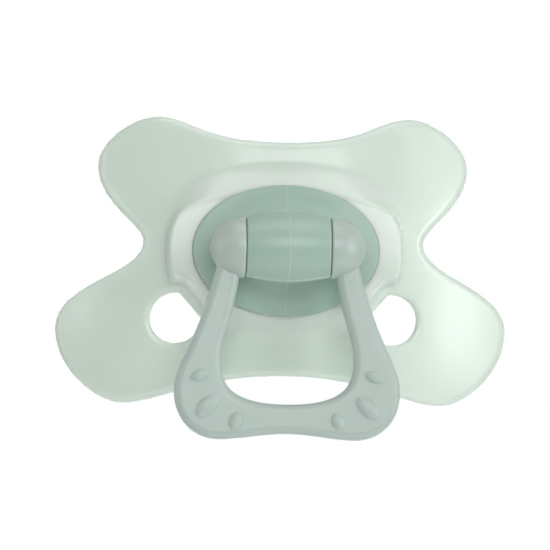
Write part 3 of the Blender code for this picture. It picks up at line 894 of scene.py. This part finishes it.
def plastic(name, colour, roughness, subsurface, scatter_radius, line_highlight_colour=None):
    """Moulded plastic: soft inside, faintly cloudy, with an uneven polish and a very fine texture.

    With a line highlight colour, the moulding's parting line on the middle plane is painted paler: a
    painted highlight for the light that its thin ridge catches.
    """
    material = bpy.data.materials.new(name)
    material.use_nodes = True
    nodes, links = material.node_tree.nodes, material.node_tree.links
    shader = nodes["Principled BSDF"]
    shader.inputs["IOR"].default_value = PLASTIC_IOR
    shader.inputs["Subsurface Weight"].default_value = subsurface
    shader.inputs["Subsurface Radius"].default_value = scatter_radius
    shader.inputs["Subsurface Scale"].default_value = MM
    place = nodes.new("ShaderNodeTexCoord")
    cloud = noise(nodes, links, place, CLOUD_SCALE, CLOUD_DETAIL)
    darker = [channel * (1 - CLOUD_CONTRAST) for channel in colour]
    lighter = [channel * (1 + CLOUD_CONTRAST) for channel in colour]
    tint = tinted(nodes, links, between(nodes, links, cloud, 0.0, 1.0), darker, lighter)
    # Painted highlight: the parting line's ridge is coloured paler.
    if line_highlight_colour:
        tint = with_painted_line_highlight(nodes, links, place, tint, line_highlight_colour)
    links.new(tint, shader.inputs["Base Color"])
    polish = noise(nodes, links, place, POLISH_SCALE, POLISH_DETAIL)
    uneven = between(nodes, links, polish, roughness - POLISH_SPREAD, roughness + POLISH_SPREAD)
    links.new(uneven, shader.inputs["Roughness"])
    bump = nodes.new("ShaderNodeBump")
    bump.inputs["Strength"].default_value = 1.0
    bump.inputs["Distance"].default_value = GRAIN_DEPTH
    links.new(noise(nodes, links, place, GRAIN_SCALE, GRAIN_DETAIL), bump.inputs["Height"])
    links.new(bump.outputs["Normal"], shader.inputs["Normal"])
    return material


def clear_silicone(name):
    """Hazy silicone: the moulded plastic's clouds and grain on a material that light goes through."""
    material = plastic(name, *HAZY_SILICONE)
    shader = material.node_tree.nodes["Principled BSDF"]
    shader.inputs["IOR"].default_value = SILICONE_IOR
    shader.inputs["Transmission Weight"].default_value = SILICONE_TRANSMISSION
    return material


# Studio

def aim(obj, target):
    """Turns a light so that it shines at the target."""
    obj.rotation_mode = "QUATERNION"
    obj.rotation_quaternion = (Vector(target) - obj.location).to_track_quat("-Z", "Y")


def soft_light(name, azimuth, elevation, distance, width, height, radiance):
    """A soft box round the object; azimuth 0 is in front, and 90 is towards +X."""
    a, e = math.radians(azimuth), math.radians(elevation)
    data = bpy.data.lights.new(name, "AREA")
    data.shape = "RECTANGLE"
    data.size, data.size_y = width, height
    data.energy = radiance * math.pi * width * height
    light = bpy.data.objects.new(name, data)
    bpy.context.scene.collection.objects.link(light)
    light.location = Vector((math.sin(a) * math.cos(e), -math.cos(a) * math.cos(e), math.sin(e))) * distance
    light.visible_camera = False
    aim(light, (0, 0, 0))


def seen_share(nodes, links):
    """1 for what is seen directly, mirrored or through a clear piece, 0 for light that falls on a piece."""
    path = nodes.new("ShaderNodeLightPath")
    share = path.outputs["Is Camera Ray"]
    for kind in ("Is Glossy Ray", "Is Transmission Ray"):
        either = nodes.new("ShaderNodeMath")
        either.operation = "MAXIMUM"
        links.new(share, either.inputs[0])
        links.new(path.outputs[kind], either.inputs[1])
        share = either.outputs["Value"]
    return share


def build_world():
    """A soft tent of light that is itself seen as plain white."""
    world = bpy.data.worlds.new("studio")
    bpy.context.scene.world = world
    world.use_nodes = True
    nodes, links = world.node_tree.nodes, world.node_tree.links
    nodes.clear()
    output = nodes.new("ShaderNodeOutputWorld")
    tent = nodes.new("ShaderNodeBackground")
    seen = nodes.new("ShaderNodeBackground")
    seen.inputs["Color"].default_value = (1, 1, 1, 1)
    choose = nodes.new("ShaderNodeMixShader")
    place = nodes.new("ShaderNodeTexCoord")
    slant = nodes.new("ShaderNodeVectorMath")
    slant.operation = "DOT_PRODUCT"
    slant.inputs[1].default_value = TENT_SLANT
    level = nodes.new("ShaderNodeMath")
    level.inputs[1].default_value = TENT_LEVEL
    links.new(place.outputs["Generated"], slant.inputs[0])
    links.new(slant.outputs["Value"], level.inputs[0])
    links.new(level.outputs["Value"], tent.inputs["Strength"])
    links.new(seen_share(nodes, links), choose.inputs["Fac"])
    links.new(tent.outputs["Background"], choose.inputs[1])
    links.new(seen.outputs["Background"], choose.inputs[2])
    links.new(choose.outputs["Shader"], output.inputs["Surface"])


def build_floor():
    """A plain floor far below the object, which glows white where it is seen."""
    material = bpy.data.materials.new("floor_white")
    material.use_nodes = True
    nodes, links = material.node_tree.nodes, material.node_tree.links
    shader = nodes["Principled BSDF"]
    shader.inputs["Base Color"].default_value = (FLOOR_GREY, FLOOR_GREY, FLOOR_GREY, 1)
    shader.inputs["Roughness"].default_value = FLOOR_ROUGHNESS
    shader.inputs["Emission Color"].default_value = (FLOOR_GLOW, FLOOR_GLOW, FLOOR_GLOW, 1)
    links.new(seen_share(nodes, links), shader.inputs["Emission Strength"])
    bm = bmesh.new()
    bmesh.ops.create_grid(bm, x_segments=8, y_segments=8, size=FLOOR_HALF_WIDTH)
    mesh = bpy.data.meshes.new("studio_floor")
    bm.to_mesh(mesh)
    bm.free()
    mesh.materials.append(material)
    floor = bpy.data.objects.new("studio_floor", mesh)
    bpy.context.scene.collection.objects.link(floor)
    floor.location.z = FLOOR_LEVEL


def build_camera():
    """A long lens, nearly straight in front of the object and a little below and left of it."""
    a, e = math.radians(CAMERA_AZIMUTH), math.radians(CAMERA_ELEVATION)
    back = Vector((math.sin(a) * math.cos(e), -math.cos(a) * math.cos(e), math.sin(e)))
    right = Vector((math.cos(a), math.sin(a), 0))
    up = back.cross(right)
    roll = Matrix.Rotation(math.radians(-CAMERA_ROLL), 3, back)
    right, up = roll @ right, roll @ up
    data = bpy.data.cameras.new("camera")
    data.sensor_width = SENSOR_WIDTH
    data.lens = SENSOR_WIDTH * CAMERA_DISTANCE / VIEW_WIDTH
    data.clip_start, data.clip_end = CAMERA_CLIP
    camera = bpy.data.objects.new("camera", data)
    bpy.context.scene.collection.objects.link(camera)
    axes = Matrix((right, up, back)).transposed()
    camera.rotation_euler = axes.to_euler()
    camera.location = right * VIEW_CENTRE[0] + up * VIEW_CENTRE[1] + back * CAMERA_DISTANCE
    bpy.context.scene.camera = camera


bpy.context.scene.view_settings.view_transform = "Standard"
build_camera()
build_world()
build_floor()
for box in SOFT_BOXES:
    soft_light(*box)

build_shield(plastic("shield_mint", *SHIELD_MINT))
# The knob's parting line gets a painted highlight.
build_knob(plastic("knob_sage", *KNOB_SAGE, KNOB_LINE_HIGHLIGHT_COLOUR))
build_ring(plastic("ring_sage", *RING_SAGE))
build_teat(clear_silicone("teat_silicone"))
build_plug(plastic("plug_natural", *PLUG_NATURAL))
